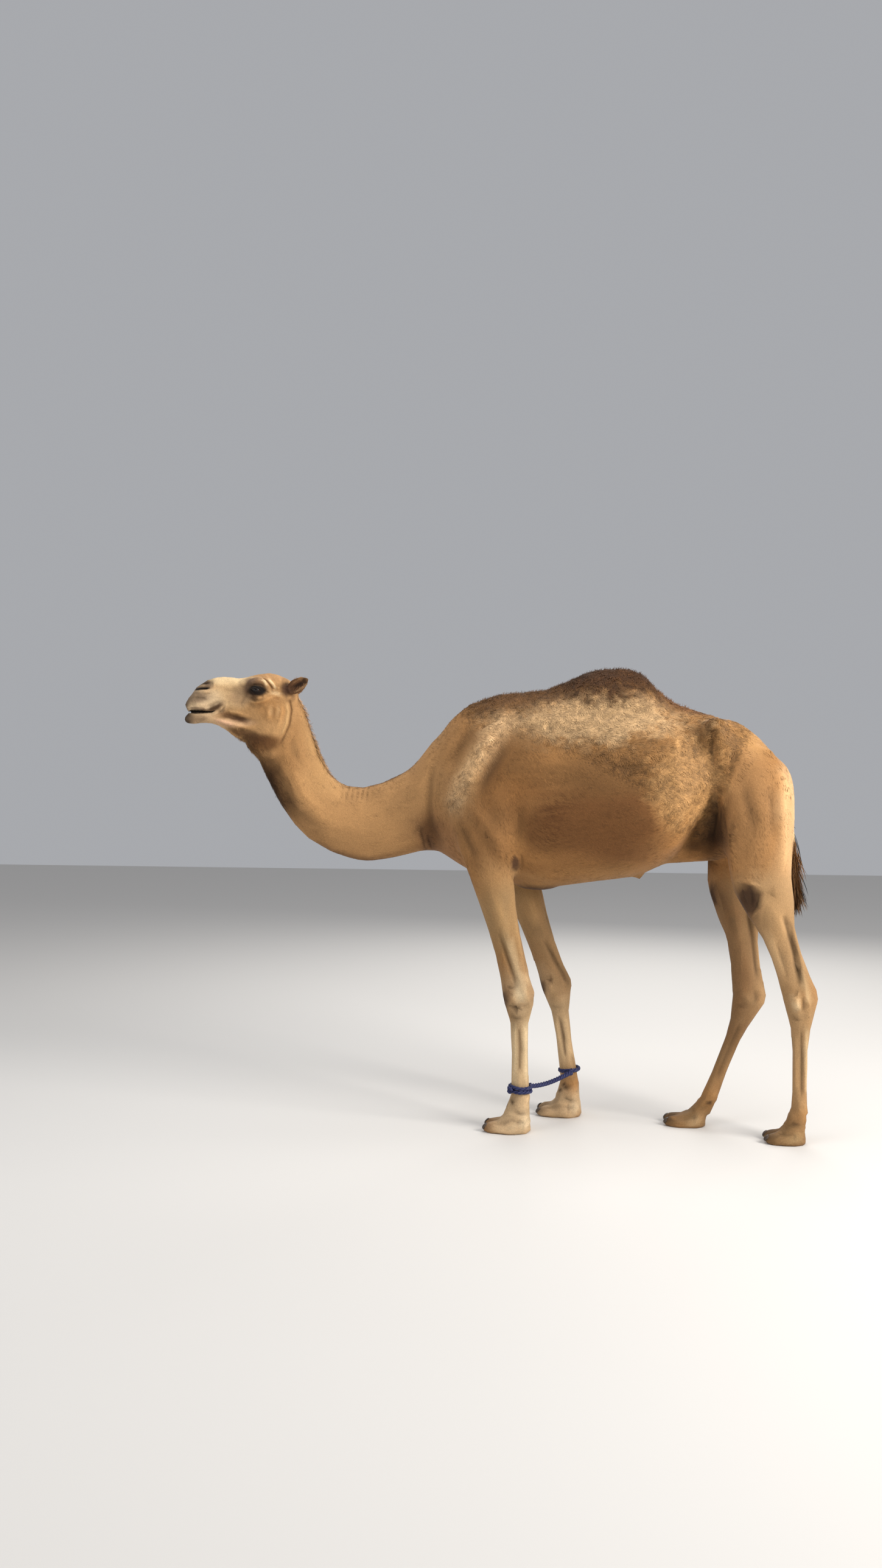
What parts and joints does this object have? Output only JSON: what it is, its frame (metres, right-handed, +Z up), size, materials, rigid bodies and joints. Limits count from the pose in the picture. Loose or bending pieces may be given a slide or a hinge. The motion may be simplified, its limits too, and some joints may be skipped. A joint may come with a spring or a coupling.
{
  "type": "dromedary camel",
  "caption": "Standing dromedary camel with hobbled forelegs, a life-size still model that rests on its four feet.",
  "frame": {"origin": "on the floor, under the middle of the body's own box", "axes": "+Z up; the camel faces -X, its left side is towards -Y and its right side towards +Y"},
  "size_m": [2.7249, 0.6614, 2.0204],
  "materials": {
    "body_coat": "short dense camel coat, woolly on the back and upper ribs, matt",
    "hump_wool": "dark brown curled wool, matt",
    "head_coat": "very short sandy coat, matt, paler on the muzzle",
    "leg_coat": "very short pale coat, matt",
    "tail_hair": "long dark hair",
    "callus": "bare thick dark skin, rough",
    "eyes": "very dark brown, wet gloss",
    "nails": "dark horn, dull",
    "rope": "twisted navy blue rope, worn"
  },
  "bodies": {
    "root": {"chest_pad": "callus", "ear_left": "head_coat", "ear_right": "head_coat", "eye_left": "eyes", "eye_right": "eyes", "forefoot_left": "leg_coat", "forefoot_left_nail_near": "nails", "forefoot_left_nail_off": "nails", "forefoot_right": "leg_coat", "forefoot_right_nail_near": "nails", "forefoot_right_nail_off": "nails", "foreleg_left_lower": "leg_coat", "foreleg_left_upper": "leg_coat", "foreleg_right_lower": "leg_coat", "foreleg_right_upper": "leg_coat", "head": "head_coat", "hindfoot_left": "leg_coat", "hindfoot_left_nail_near": "nails", "hindfoot_left_nail_off": "nails", "hindfoot_right": "leg_coat", "hindfoot_right_nail_near": "nails", "hindfoot_right_nail_off": "nails", "hindleg_left_lower": "leg_coat", "hindleg_left_upper": "leg_coat", "hindleg_right_lower": "leg_coat", "hindleg_right_upper": "leg_coat", "hobble_link": "rope", "hobble_loop_left": "rope", "hobble_loop_right": "rope", "hump": "hump_wool", "lower_jaw": "head_coat", "neck_lower": "head_coat", "neck_upper": "head_coat", "tail_dock": "body_coat", "tail_tuft": "tail_hair", "trunk": "body_coat"}
  },
  "joints": []
}
